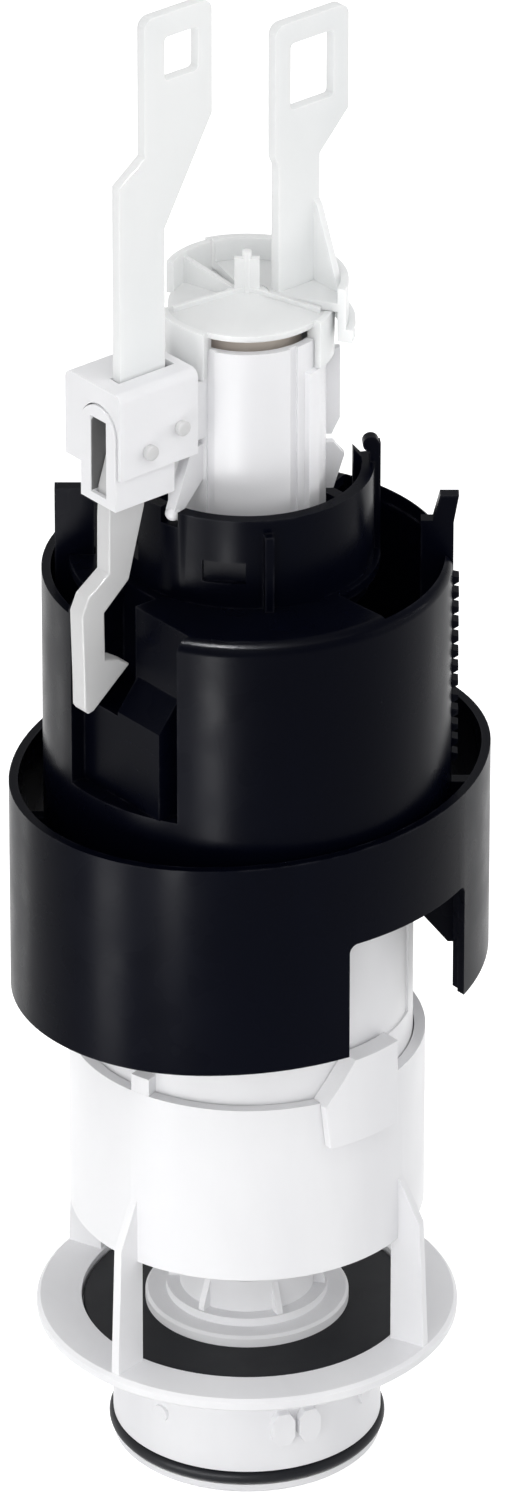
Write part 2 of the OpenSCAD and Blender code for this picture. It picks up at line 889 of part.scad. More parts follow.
// Ring float, an inverted cup that stands on the tube's collar
module main_float() {
    sleeve_r = guide_bore + float_wall;
    color(white) rotate_extrude() polygon([
        [guide_bore, float_z],
        [sleeve_r, float_z],
        [sleeve_r, float_top - float_wall],
        [float_r - float_wall, float_top - float_wall],
        [float_r - float_wall, float_z],
        [float_r, float_z],
        [float_r, float_top - 1],
        [float_r - 1, float_top],
        [guide_bore, float_top]
    ]);
}

// Split ring that holds the float down
module float_clip() {
    clip_t = 2.5;
    color(white) arc_ring(tube_r + 0.2, collar_r, float_top, float_top + clip_t, 20, 340);
}

// Cap over the overflow slot: a shallow cone with ribs, a back wall and a flat centre post
module tube_cap() {
    rib_t = 1.2;
    rib_h = 2;
    rib_angles = [157, 302];
    cone_top = cap_top + 2.4;
    cone_start = 153;
    skirt_arcs = [[150, 201], [-73, 60]];
    wall_end = 124;
    wall_rib = 104;
    wall_in = tube_r - 0.6;
    guard_r = tube_bore - 3;
    guard_t = 1.2;
    guard_arc = [190, 300];
    post_w = 5.4;
    post_t = 1.6;
    tip_r = 1;
    color(milk) {
        difference() {
            union() {
                rotate_extrude() polygon([
                    [0, cap_z],
                    [tube_r, cap_z],
                    [tube_r, cap_top - 0.2],
                    [post_w / 2, cone_top],
                    [0, cone_top]
                ]);
                for (angle = rib_angles)
                    radial_plate(angle, rib_t) polygon([
                        [0, cap_z + merge],
                        [tube_r - 0.5, cap_z + merge],
                        [tube_r - 0.5, cap_top + rib_h / 2],
                        [post_w / 2, cone_top + rib_h / 2],
                        [0, cone_top + rib_h / 2]
                    ]);
            }
            arc_ring(foot_seat_in, tube_r + 1, cap_top, cone_top + rib_h, foot_start - 1, cone_start);
        }
        for (span = skirt_arcs) {
            arc_ring(skirt_in, skirt_out, skirt_z, cap_top, span[0], span[1]);
            arc_ring(tube_bore + 0.2, skirt_in + merge, tube_top, cap_top - merge, span[0], span[1]);
        }
        arc_ring(wall_in, tube_r + 1, cap_top - merge, cap_top + back_h, foot_end + 3, wall_end);
        radial_plate(wall_rib, rib_t) polygon([
            [foot_seat_in - 1, cap_z + merge],
            [wall_in + merge, cap_z + merge],
            [wall_in + merge, cap_top + back_h - 1],
            [foot_seat_in - 1, cone_top]
        ]);
        arc_ring(guard_r - guard_t, guard_r, tube_top - 1, cap_z + merge, guard_arc[0], guard_arc[1]);
        radial_plate(arm_angle, post_t)
            rect(-post_w / 2, cap_z + merge, post_w / 2, cap_top + post_h - 1.6);
        translate([0, 0, cap_top]) cylinder(r = tip_r, h = post_h);
    }
}

// Pull rod for the full flush, with its foot on the cap
module full_flush_rod() {
    y0 = -3 - rod_t / 2;
    foot_out = skirt_out + 3;
    foot_in = foot_out - 1.8;
    foot_top = cap_top + 2;
    wall_z = cap_top - 7;
    wall_h = 12.5;
    head_x = 4.4;
    head_end = head_x + full_head_w;
    head_top = tube_top + full_head_z;
    eye_z = head_top - 20.5;
    eye_top = head_top - 5.1;
    neck_z = head_top - 32.9;
    stem_x = head_x + 0.9;
    stem_end = stem_x + 11.3;
    gusset_t = 1.6;
    corner = 2.5;
    color(milk) {
        side_plate(y0, y0 + rod_t) difference() {
            polygon([
                [head_x, head_top],
                [head_end, head_top],
                [head_end, head_top - 24.5],
                [stem_end, neck_z],
                [stem_end, cap_top],
                [stem_x, cap_top],
                [stem_x, neck_z],
                [head_x, neck_z + 2]
            ]);
            corner_cut(head_x, head_top, 1, -1, corner);
            corner_cut(head_end, head_top, -1, -1, corner);
            round_rect(head_x + 4.1, eye_z, head_end - 4.1, eye_top, 1);
        }
        arc_ring(foot_seat_in + slide_gap, foot_out, cap_top, foot_top, foot_start, foot_end);
        arc_ring(foot_in, foot_out, wall_z, wall_z + wall_h, foot_start, foot_end);
        arc_ring(foot_in, foot_out + 1.5, wall_z, wall_z + 3, foot_start, foot_end);
        arc_ring(tube_r - 0.6, tube_r + 1, foot_top - merge, cap_top + back_h, 30, foot_end);
        end_plate(stem_end - gusset_t, stem_end) polygon([
            [y0 + 1, cap_top + 0.5],
            [y0 + 1, cap_top + 22],
            [y0 - 1, cap_top + 20],
            [y0 - 8.5, foot_top - 0.5],
            [y0 - 8.5, cap_top + 0.5]
        ]);
    }
}

// Trigger cover: rounded box, open below and at its far end, with the rod's slot on top
module trigger_cover() {
    round = 2;
    y1 = cover_y + cover_w;
    roof = 1.6;
    slot_x0 = block_x - 17 - slide_gap;
    slot_x1 = block_x - 17 + half_stem_w + slide_gap + 2.2;
    color(white) difference() {
        end_plate(cover_x, block_x) round_top(cover_y, cover_z, y1, cover_top, round);
        translate([cover_x + cover_wall, cover_y + cover_wall, cover_z - 1])
            cube([cover_l - 2 * cover_wall, cover_w - 2 * cover_wall, cover_h - roof + 1]);
        end_plate(cover_x - 1, cover_x + 2 * cover_wall) arch(slide_gap);
        translate([slot_x0, rod_y - rod_t / 2 - slide_gap, cover_top - 5])
            cube([slot_x1 - slot_x0, rod_t + 2 * slide_gap, 10]);
        pin_bar(lever_x, lever_z, pin_r + pin_fit, cover_y - 1, y1 + 1);
        pin_bar(guide_x, guide_z, pin_r + pin_fit, cover_y - 1, y1 + 1);
    }
}

// Outline of the channel: straight sides under a round top, grown by a clearance
module arch(grow) {
    y0 = channel_y - grow;
    y1 = channel_y + channel_w + grow;
    half = channel_w / 2 + grow;
    spring_z = channel_top + grow - half;
    rect(y0, channel_z - grow, y1, spring_z);
    translate([channel_y + channel_w / 2, spring_z]) circle(half);
}

// Channel in which the lever swings, open below and at both ends
module trigger_channel() {
    slot_y0 = rod_y - channel_slot / 2;
    slot_top = channel_top - 3;
    cut_h = slot_top - channel_z + 1;
    bar_t = 1;
    bar_h = 2;
    color(white) {
        difference() {
            end_plate(channel_x, channel_far) arch(0);
            translate([channel_x - 1, slot_y0, channel_z - 1])
                cube([channel_far - channel_x + 2, channel_slot, cut_h]);
            translate([channel_end, slot_y0, channel_z - 1])
                cube([channel_far - channel_end + 1, channel_slot, cut_h + channel_w]);
            for (pin = [[lever_x, lever_z], [guide_x, guide_z]])
                pin_bar(pin[0], pin[1], pin_r + pin_fit, cover_y, cover_y + cover_w);
        }
        translate([channel_x, slot_y0 - merge, channel_z])
            cube([bar_t, channel_slot + 2 * merge, bar_h]);
    }
}

module lever_pin() {
    color(grey) pin_bar(lever_x, lever_z, pin_r, pin_y, pin_y + pin_l);
}

module guide_pin() {
    color(grey) pin_bar(guide_x, guide_z, pin_r, pin_y, pin_y + pin_l);
}

// Pull rod for the half flush, which slides on the guide pin
module half_flush_rod() {
    y0 = rod_y - rod_t / 2;
    stem_x = block_x - 16.7;
    stem_end = stem_x + half_stem_w;
    head_x = stem_x + 7;
    head_end = head_x + half_head_w;
    head_top = tube_top + half_head_z;
    eye_z = head_top - 15.4;
    eye_top = head_top - 5.5;
    stem_z = cover_top - 3.6;
    tongue_end = guide_x + 2.7;
    tongue_z = guide_z - 8.8;
    slot_r = pin_r + turn_fit;
    corner = 2.5;
    color(milk) difference() {
        side_plate(y0, y0 + rod_t) difference() {
            polygon([
                [head_x, head_top],
                [head_end, head_top],
                [head_end, head_top - 26.5],
                [stem_end, head_top - 49.8],
                [stem_end, guide_z + 3.5],
                [tongue_end, guide_z + 3.5],
                [tongue_end, tongue_z],
                [tongue_x - tongue_wedge, tongue_z],
                [tongue_x - tongue_wedge, lever_z + 1.2],
                [tongue_x, lever_z + 6.2],
                [tongue_x, stem_z],
                [stem_x, stem_z],
                [stem_x, head_top - 37],
                [head_x, head_top - 31.8]
            ]);
            corner_cut(head_x, head_top, 1, -1, corner);
            corner_cut(head_end, head_top, -1, -1, corner);
            round_rect(head_x + 5.5, eye_z, head_end - 3.8, eye_top, 1);
        }
        for (drop = [0, half_travel])
            pin_bar(guide_x, guide_z - drop, slot_r, y0 - 1, y0 + rod_t + 1);
        translate([guide_x - slot_r, y0 - 1, guide_z - half_travel])
            cube([2 * slot_r, rod_t + 2, half_travel]);
    }
}

// Hanging lever with its barb, turning on the lever pin
module trigger_lever() {
    y0 = rod_y - lever_t / 2;
    y1 = y0 + lever_t;
    boss_r = 4;
    color(grey) difference() {
        union() {
            pin_bar(lever_x, lever_z, boss_r, y0, y1);
            side_plate(y0, y1) translate([lever_x, lever_z]) polygon([
                [-4.3, -1.9],
                [-2.8, 3.1],
                [1.2, 6.2],
                [4.6, 6.2],
                [4.4, 4.1],
                [2.7, -3.4],
                [3.4, -9.4],
                [2.6, -15.6],
                [-1.7, -32],
                [-8.5, -37.9],
                [-8.3, -49.4],
                [-4.8, -50.3],
                [-1.6, -52.4],
                [-11.6, -60.6],
                [-13.1, -60.9],
                [-14, -59.6],
                [-14.1, -52.4],
                [-14.6, -36.7],
                [-12.9, -33],
                [-7.1, -29],
                [-7, -16.4],
                [-6.6, -9.4]
            ]);
        }
        pin_bar(lever_x, lever_z, pin_r + turn_fit, y0 - 1, y1 + 1);
    }
}

seat_basket();
outlet_o_ring();
lock_clip();
body_tube();
lower_guide();
float_housing();
guide_ring();
neck_collar();
volume_sleeve();
overflow_tube();
seal_clamp();
main_seal();
seal_plate();
main_float();
float_clip();
tube_cap();
full_flush_rod();
trigger_cover();
trigger_channel();
lever_pin();
guide_pin();
half_flush_rod();
trigger_lever();
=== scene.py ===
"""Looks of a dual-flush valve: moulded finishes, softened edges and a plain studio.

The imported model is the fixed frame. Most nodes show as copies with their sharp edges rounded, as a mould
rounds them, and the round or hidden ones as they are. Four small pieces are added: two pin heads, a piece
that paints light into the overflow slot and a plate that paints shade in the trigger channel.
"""

import logging
import math
from dataclasses import dataclass
from enum import Enum

import bmesh
import bpy
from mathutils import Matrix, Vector


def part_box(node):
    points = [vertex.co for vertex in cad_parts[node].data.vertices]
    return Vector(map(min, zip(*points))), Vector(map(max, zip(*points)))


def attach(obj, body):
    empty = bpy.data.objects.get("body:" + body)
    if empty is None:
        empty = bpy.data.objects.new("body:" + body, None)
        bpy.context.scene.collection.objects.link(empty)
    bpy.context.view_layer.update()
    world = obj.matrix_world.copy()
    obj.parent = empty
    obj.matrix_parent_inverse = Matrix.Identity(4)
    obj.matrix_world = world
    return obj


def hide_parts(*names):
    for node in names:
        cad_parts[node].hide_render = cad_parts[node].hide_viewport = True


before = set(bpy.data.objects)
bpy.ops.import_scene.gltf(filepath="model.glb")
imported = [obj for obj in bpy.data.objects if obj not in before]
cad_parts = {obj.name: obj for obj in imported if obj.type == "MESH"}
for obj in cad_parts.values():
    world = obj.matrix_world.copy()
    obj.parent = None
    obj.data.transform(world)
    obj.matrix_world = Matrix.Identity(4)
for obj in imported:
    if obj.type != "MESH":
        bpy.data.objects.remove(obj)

LOG = logging.getLogger("flush_valve")
MM = 0.001
IMAGE_W, IMAGE_H = 505, 1500

# Edges that turn by more than this are rounded
SHARP_ANGLE = math.radians(28.0)
# Faces that meet at less than this share their shading
BLEND_COSINE = math.cos(math.radians(50.0))
# Faces that turn by less than this are one flat face
FLAT_ANGLE = math.radians(0.6)
# Corners that lie closer than this, in metres, are one corner
WELD = 2e-6

Colour = tuple[float, float, float]
Links = dict[str | int, object]


class Socket(Enum):
    """Kinds of sockets that the shared node groups have."""

    VALUE = "NodeSocketFloat"
    COLOUR = "NodeSocketColor"


class NodeGroup:
    """A shader node group with named inputs and outputs, built once."""

    def __init__(self, name: str) -> None:
        """Starts an empty group.

        Args:
            name: Name of the group.
        """
        self.tree = bpy.data.node_groups.new(name, "ShaderNodeTree")
        self.inputs = self.tree.nodes.new("NodeGroupInput")
        self.outputs = self.tree.nodes.new("NodeGroupOutput")

    def take(self, name: str, kind: Socket, default: object) -> None:
        """Adds an input, with the value that it has when nothing is linked."""
        socket = self.tree.interface.new_socket(name, in_out="INPUT", socket_type=kind.value)
        socket.default_value = default

    def give(self, name: str, kind: Socket, source: bpy.types.NodeSocket) -> None:
        """Adds an output and links it to the socket inside the group that feeds it."""
        self.tree.interface.new_socket(name, in_out="OUTPUT", socket_type=kind.value)
        self.tree.links.new(source, self.outputs.inputs[name])

    def add(self, kind: str, links: Links | None = None, **settings: object) -> bpy.types.Node:
        """Adds a node to the group, as add_node does."""
        return add_node(self.tree, kind, links, **settings)


def add_node(
    tree: bpy.types.NodeTree, kind: str, links: Links | None = None, **settings: object
) -> bpy.types.Node:
    """Adds a node to a tree, with its settings and links.

    Args:
        tree: Tree that gets the node.
        kind: Blender's name of the node.
        links: Socket name or number, to a value or the socket that feeds it.
        **settings: Attributes of the node.

    Returns:
        The new node.
    """
    node = tree.nodes.new(kind)
    for key, value in settings.items():
        setattr(node, key, value)
    for key, value in (links or {}).items():
        if isinstance(value, bpy.types.NodeSocket):
            tree.links.new(value, node.inputs[key])
        else:
            node.inputs[key].default_value = value
    return node


class SharedEffects:
    """Effects that several finishes use, each as one node group."""

    def __init__(self) -> None:
        """Builds the groups."""
        self.grain = self._grain()
        self.cloud = self._cloud()
        self.edges = self._edges()
        self.dust = self._dust()

    def _grain(self) -> bpy.types.NodeTree:
        """Fine texture of the mould's surface.

        Returns:
            Group with the outputs Height and Shift.
        """
        group = NodeGroup("Mould Grain")
        group.take("Scale", Socket.VALUE, 1500.0)
        place = group.add("ShaderNodeTexCoord").outputs["Object"]
        fine = group.add(
            "ShaderNodeTexNoise",
            {"Vector": place, "Scale": group.inputs.outputs["Scale"], "Detail": 3.0, "Roughness": 0.6},
        )
        broad = group.add("ShaderNodeTexNoise", {"Vector": place, "Scale": 90.0, "Detail": 2.0})
        height = group.add(
            "ShaderNodeMath", {0: fine.outputs["Fac"], 1: broad.outputs["Fac"]}, operation="ADD"
        )
        shift = group.add(
            "ShaderNodeMapRange",
            {
                "Value": broad.outputs["Fac"],
                "From Min": 0.3,
                "From Max": 0.7,
                "To Min": -0.5,
                "To Max": 0.5,
            },
        )
        group.give("Height", Socket.VALUE, height.outputs[0])
        group.give("Shift", Socket.VALUE, shift.outputs["Result"])
        return group.tree

    def _cloud(self) -> bpy.types.NodeTree:
        """Slow colour drift of moulded plastic, with faint flow lines.

        Returns:
            Group with the output Colour.
        """
        group = NodeGroup("Mould Cloud")
        group.take("Light", Socket.COLOUR, (1.0, 1.0, 1.0, 1.0))
        group.take("Deep", Socket.COLOUR, (0.8, 0.8, 0.8, 1.0))
        group.take("Scale", Socket.VALUE, 25.0)
        place = group.add("ShaderNodeTexCoord").outputs["Object"]
        stretch = group.add("ShaderNodeMapping", {"Vector": place, "Scale": (1.0, 1.0, 0.35)})
        drift = group.add(
            "ShaderNodeTexNoise",
            {
                "Vector": stretch.outputs["Vector"],
                "Scale": group.inputs.outputs["Scale"],
                "Detail": 4.0,
                "Distortion": 0.6,
            },
        )
        even = group.add(
            "ShaderNodeMapRange",
            {"Value": drift.outputs["Fac"], "From Min": 0.35, "From Max": 0.7},
            interpolation_type="SMOOTHSTEP",
        )
        mix = group.add(
            "ShaderNodeMix",
            {
                "Factor": even.outputs["Result"],
                "A": group.inputs.outputs["Light"],
                "B": group.inputs.outputs["Deep"],
            },
            data_type="RGBA",
        )
        group.give("Colour", Socket.COLOUR, mix.outputs[2])
        return group.tree

    def _edges(self) -> bpy.types.NodeTree:
        """Mask of edges, in patches, whose colour is lightened: partly wear, partly a painted sheen.

        Returns:
            Group with the output Mask.
        """
        group = NodeGroup("Edge Sheen And Wear")
        group.take("Radius", Socket.VALUE, 0.0008)
        group.take("Break", Socket.VALUE, 160.0)
        rounded = group.add("ShaderNodeBevel", {"Radius": group.inputs.outputs["Radius"]}, samples=4)
        true = group.add("ShaderNodeNewGeometry").outputs["Normal"]
        facing = group.add(
            "ShaderNodeVectorMath", {0: rounded.outputs["Normal"], 1: true}, operation="DOT_PRODUCT"
        )
        edge = group.add(
            "ShaderNodeMapRange",
            {"Value": facing.outputs["Value"], "From Min": 0.995, "From Max": 0.9},
        )
        place = group.add("ShaderNodeTexCoord").outputs["Object"]
        patchy = group.add(
            "ShaderNodeTexNoise",
            {"Vector": place, "Scale": group.inputs.outputs["Break"], "Detail": 3.0},
        )
        keep = group.add(
            "ShaderNodeMapRange", {"Value": patchy.outputs["Fac"], "From Min": 0.4, "From Max": 0.65}
        )
        mask = group.add(
            "ShaderNodeMath",
            {0: edge.outputs["Result"], 1: keep.outputs["Result"]},
            operation="MULTIPLY",
        )
        group.give("Mask", Socket.VALUE, mask.outputs[0])
        return group.tree

    def _dust(self) -> bpy.types.NodeTree:
        """Mask of the fine dust that settles on faces that look up.

        Returns:
            Group with the output Mask.
        """
        group = NodeGroup("Settled Dust")
        group.take("Amount", Socket.VALUE, 0.1)
        normal = group.add("ShaderNodeNewGeometry").outputs["Normal"]
        up = group.add("ShaderNodeSeparateXYZ", {"Vector": normal}).outputs["Z"]
        level = group.add("ShaderNodeMapRange", {"Value": up, "From Min": 0.4, "From Max": 1.0})
        place = group.add("ShaderNodeTexCoord").outputs["Object"]
        specks = group.add("ShaderNodeTexNoise", {"Vector": place, "Scale": 420.0, "Detail": 6.0})
        cover = group.add(
            "ShaderNodeMath",
            {0: level.outputs["Result"], 1: specks.outputs["Fac"]},
            operation="MULTIPLY",
        )
        mask = group.add(
            "ShaderNodeMath",
            {0: cover.outputs[0], 1: group.inputs.outputs["Amount"]},
            operation="MULTIPLY",
        )
        group.give("Mask", Socket.VALUE, mask.outputs[0])
        return group.tree


@dataclass(frozen=True)
class Finish:
    """Surface of one moulded or rubber material, in terms of the shared effects."""

    name: str
    slot: str
    light: Colour
    deep: Colour
    roughness: float
    specular: float
    grain_scale: float = 1500.0
    grain_height: float = 0.02
    rough_drift: float = 0.08
    # Colour and share of the lighter edges: partly wear, partly a painted sheen
    sheen_and_wear: Colour = (1.0, 1.0, 1.0)
    sheen_and_wear_share: float = 0.15
    dust: float = 0.05
    dust_colour: Colour = (0.75, 0.74, 0.72)
    subsurface: float = 0.0
    subsurface_depth: float = 0.0

    def build(self, effects: SharedEffects) -> bpy.types.Material:
        """Makes the material.

        Args:
            effects: The shared node groups.

        Returns:
            The material, under the finish's own name.
        """
        material = bpy.data.materials.new(self.name)
        material.use_nodes = True
        tree = material.node_tree
        tree.nodes.clear()
        shader = add_node(tree, "ShaderNodeBsdfPrincipled", {"Specular IOR Level": self.specular})
        add_node(tree, "ShaderNodeOutputMaterial", {"Surface": shader.outputs["BSDF"]})
        if self.subsurface:
            shader.inputs["Subsurface Weight"].default_value = self.subsurface
            shader.inputs["Subsurface Radius"].default_value = (1.0, 1.0, 1.0)
            shader.inputs["Subsurface Scale"].default_value = self.subsurface_depth
        self._colour(tree, shader, effects)
        self._surface(tree, shader, effects)
        return material

    def _colour(
        self, tree: bpy.types.NodeTree, shader: bpy.types.Node, effects: SharedEffects
    ) -> None:
        """Links the base colour: drift, edges lightened for wear and a painted sheen, then dust.

        Args:
            tree: The material's nodes.
            shader: The material's shader.
            effects: The shared node groups.
        """
        cloud = add_node(
            tree,
            "ShaderNodeGroup",
            {"Light": (*self.light, 1.0), "Deep": (*self.deep, 1.0)},
            node_tree=effects.cloud,
        )
        colour = cloud.outputs["Colour"]
        for group, share, tint in (
            (effects.edges, self.sheen_and_wear_share, self.sheen_and_wear),
            (effects.dust, self.dust, self.dust_colour),
        ):
            mask = add_node(tree, "ShaderNodeGroup", node_tree=group).outputs["Mask"]
            part = add_node(tree, "ShaderNodeMath", {0: mask, 1: share}, operation="MULTIPLY")
            mix = add_node(
                tree,
                "ShaderNodeMix",
                {"Factor": part.outputs[0], "A": colour, "B": (*tint, 1.0)},
                data_type="RGBA",
            )
            colour = mix.outputs[2]
        tree.links.new(colour, shader.inputs["Base Color"])

    def _surface(
        self, tree: bpy.types.NodeTree, shader: bpy.types.Node, effects: SharedEffects
    ) -> None:
        """Links the roughness and the grain's bump.

        Args:
            tree: The material's nodes.
            shader: The material's shader.
            effects: The shared node groups.
        """
        grain = add_node(tree, "ShaderNodeGroup", {"Scale": self.grain_scale}, node_tree=effects.grain)
        rough = add_node(
            tree,
            "ShaderNodeMath",
            {0: grain.outputs["Shift"], 1: self.rough_drift, 2: self.roughness},
            operation="MULTIPLY_ADD",
            use_clamp=True,
        )
        bump = add_node(
            tree,
            "ShaderNodeBump",
            {"Strength": 1.0, "Distance": self.grain_height * MM, "Height": grain.outputs["Height"]},
        )
        tree.links.new(rough.outputs[0], shader.inputs["Roughness"])
        tree.links.new(bump.outputs["Normal"], shader.inputs["Normal"])


WHITE = Finish(
    name="white_moulding",
    slot="white_plastic",
    light=(0.86, 0.86, 0.875),
    deep=(0.80, 0.80, 0.82),
    roughness=0.38,
    specular=0.4,
    subsurface=0.15,
    subsurface_depth=1.2 * MM,
)
MILKY = Finish(
    name="milky_moulding",
    slot="milky_plastic",
    light=(0.82, 0.83, 0.83),
    deep=(0.765, 0.78, 0.785),
    roughness=0.33,
    specular=0.45,
    subsurface=0.7,
    subsurface_depth=4.0 * MM,
)
GREY = Finish(
    name="grey_moulding",
    slot="grey_plastic",
    light=(0.66, 0.66, 0.66),
    deep=(0.59, 0.59, 0.595),
    roughness=0.42,
    specular=0.4,
    subsurface=0.1,
    subsurface_depth=0.8 * MM,
)
BLACK = Finish(
    name="black_moulding",
    slot="black_plastic",
    light=(0.0010, 0.0015, 0.0050),
    deep=(0.0007, 0.0010, 0.0036),
    roughness=0.28,
    specular=0.03,
    grain_height=0.012,
    sheen_and_wear=(0.06, 0.06, 0.07),
    sheen_and_wear_share=0.25,
    dust=0.005,
)
RUBBER = Finish(
    name="seal_rubber",
    slot="seal_rubber",
    light=(0.005, 0.006, 0.009),
    deep=(0.003, 0.0035, 0.006),
    roughness=0.45,
    specular=0.2,
    grain_scale=2500.0,
    grain_height=0.03,
    sheen_and_wear=(0.05, 0.05, 0.055),
    sheen_and_wear_share=0.2,
    dust=0.06,
)
# Painted light: a warm pale colour for a piece inside the overflow slot, standing for light that comes
# through the translucent tube into the slot's shade.
SLOT_LIGHT = Finish(
    name="slot_painted_light",
    slot="milky_plastic",
    light=(0.80, 0.72, 0.65),
    deep=(0.74, 0.67, 0.60),
    roughness=0.4,
    specular=0.3,
    subsurface=0.3,
    subsurface_depth=2.0 * MM,
)
# Painted shade: a dark grey for a plate inside the trigger channel, whose hollow lies in shade.
SHADE = Finish(
    name="channel_shade",
    slot="grey_plastic",
    light=(0.15, 0.15, 0.15),
    deep=(0.12, 0.12, 0.12),
    roughness=0.5,
    specular=0.2,
)
FINISHES = (WHITE, MILKY, GREY, BLACK, RUBBER, SLOT_LIGHT, SHADE)


class Workshop:
    """Makes the softened copies and the added pieces, and dresses them."""

    def __init__(self) -> None:
        """Builds the shared effects and the finishes' materials."""
        effects = SharedEffects()
        self.materials = {finish.name: finish.build(effects) for finish in FINISHES}

    def dress(self, obj: bpy.types.Object, finish: Finish) -> None:
        """Gives an object one finish."""
        obj.data.materials.clear()
        obj.data.materials.append(self.materials[finish.name])

    def show(self, mesh: bpy.types.Mesh, finish: Finish) -> bpy.types.Object:
        """Puts a new mesh into the scene.

        Args:
            mesh: Mesh, whose name the object takes.
            finish: Finish that it takes.

        Returns:
            The new object.
        """
        obj = bpy.data.objects.new(mesh.name, mesh)
        bpy.context.scene.collection.objects.link(obj)
        self.dress(obj, finish)
        LOG.info("%s: %d faces, %s", mesh.name, len(mesh.polygons), finish.name)
        return obj

    def soften(self, node: str, body: str, finish: Finish, radius: float) -> None:
        """Shows a node as a copy with rounded edges.

        Args:
            node: Name of the node.
            body: Body that it rides on.
            finish: Finish that it takes.
            radius: Rounding of its edges, in millimetres.
        """
        mesh = rounded_copy(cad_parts[node].data, f"{node}_soft", radius * MM)
        obj = self.show(mesh, finish)
        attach(obj, body)
        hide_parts(node)

    def fit(
        self, name: str, body: str, finish: Finish, corners: list[Vector], faces: list[tuple[int, ...]]
    ) -> None:
        """Adds a small piece that the solids lack.

        Args:
            name: Name of the piece.
            body: Body that it rides on.
            finish: Finish that it takes.
            corners: Its corners, in millimetres.
            faces: Its faces, as numbers of corners.
        """
        work = bmesh.new()
        points = [work.verts.new(corner * MM) for corner in corners]
        for face in faces:
            work.faces.new([points[i] for i in face])
        bmesh.ops.recalc_face_normals(work, faces=work.faces)
        mesh = bpy.data.meshes.new(name)
        work.to_mesh(mesh)
        work.free()
        smooth(mesh)
        obj = self.show(mesh, finish)
        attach(obj, body)

    def keep(self, node: str, finish: Finish) -> None:
        """Shows a node as it is, in one finish."""
        self.dress(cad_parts[node], finish)
        LOG.info("%s: kept, %s", node, finish.name)


def rounded_copy(source: bpy.types.Mesh, name: str, radius: float) -> bpy.types.Mesh:
    """Copies a mesh and rounds its sharp edges.

    Args:
        source: Mesh to copy.
        name: Name of the copy.
        radius: Rounding, in metres.

    Returns:
        The new mesh, with smooth shading.
    """
    work = bmesh.new()
    work.from_mesh(source)
    bmesh.ops.remove_doubles(work, verts=work.verts, dist=WELD)
    bmesh.ops.dissolve_limit(work, angle_limit=FLAT_ANGLE, verts=work.verts, edges=work.edges)
    sharp = [e for e in work.edges if len(e.link_faces) == 2 and e.calc_face_angle(0.0) > SHARP_ANGLE]
    bmesh.ops.bevel(
        work,
        geom=sharp,
        offset=radius,
        offset_type="OFFSET",
        segments=2,
        profile=0.5,
        affect="EDGES",
        clamp_overlap=True,
    )
    bmesh.ops.triangulate(work, faces=[f for f in work.faces if len(f.verts) > 4])
    mesh = bpy.data.meshes.new(name)
    work.to_mesh(mesh)
    work.free()
    smooth(mesh)
    return mesh


def smooth(mesh: bpy.types.Mesh) -> None:
    """Gives a mesh smooth shading, with normals weighted by area."""
    mesh.polygons.foreach_set("use_smooth", [True] * len(mesh.polygons))
    mesh.normals_split_custom_set(weighted_normals(mesh))


def weighted_normals(mesh: bpy.types.Mesh) -> list[Vector]:
    """Normals weighted by area, so that flat faces shade flat right up to their rounded edges.

    Args:
        mesh: Mesh to shade.

    Returns:
        One normal for each face corner, blended over the faces that it turns into gently.
    """
    round_vertex: list[list[tuple[Vector, float]]] = [[] for _ in mesh.vertices]
    for face in mesh.polygons:
        for vertex in face.vertices:
            round_vertex[vertex].append((face.normal.copy(), face.area))
    corners = [Vector((0.0, 0.0, 1.0))] * len(mesh.loops)
    for face in mesh.polygons:
        for loop in face.loop_indices:
            total = Vector()
            for normal, area in round_vertex[mesh.loops[loop].vertex_index]:
                if normal.dot(face.normal) > BLEND_COSINE:
                    total += normal * area
            corners[loop] = total.normalized() if total.length else face.normal.copy()
    return corners


def tube_faces(rows: int, columns: int) -> list[tuple[int, ...]]:
    """Faces of a closed tube through rows of corners, with both its ends.

    Args:
        rows: How many rows there are along the tube.
        columns: How many corners a row has.

    Returns:
        The faces, as numbers of corners.
    """
    last = (rows - 1) * columns
    faces = [tuple(range(columns)), tuple(range(last, last + columns))]
    for start in range(0, last, columns):
        for i in range(columns):
            j = (i + 1) % columns
            faces.append((start + i, start + j, start + columns + j, start + columns + i))
    return faces


@dataclass
class OutletBasket:
    """White basket and the body tube in it, with the rounding of their edges in millimetres."""

    body: str = "housing"
    basket_edge: float = 0.35
    clip_edge: float = 0.3
    tube_edge: float = 0.3

    def build(self, workshop: Workshop) -> None:
        """Makes and dresses the basket with its clip and O-ring, and the tube with its guide.

        Args:
            workshop: Maker of the pieces.
        """
        workshop.soften("seat_basket", self.body, WHITE, self.basket_edge)
        workshop.soften("lock_clip", self.body, WHITE, self.clip_edge)
        workshop.soften("body_tube", self.body, WHITE, self.tube_edge)
        workshop.keep("outlet_o_ring", RUBBER)
        workshop.keep("lower_guide", WHITE)


@dataclass
class FloatHousing:
    """Black drum and the collar of its neck, with the rounding of their edges in millimetres."""

    body: str = "housing"
    drum_edge: float = 0.35
    collar_edge: float = 0.3

    def build(self, workshop: Workshop) -> None:
        """Makes and dresses the drum, the collar and the guide ring under the shoulder.

        Args:
            workshop: Maker of the pieces.
        """
        workshop.soften("float_housing", self.body, BLACK, self.drum_edge)
        workshop.soften("neck_collar", self.body, BLACK, self.collar_edge)
        workshop.keep("guide_ring", BLACK)


@dataclass
class VolumeSleeve:
    """Black skirt that slides on the drum, with the rounding of its edges in millimetres."""

    body: str = "sleeve"
    edge: float = 0.3

    def build(self, workshop: Workshop) -> None:
        """Makes and dresses the sleeve."""
        workshop.soften("volume_sleeve", self.body, BLACK, self.edge)


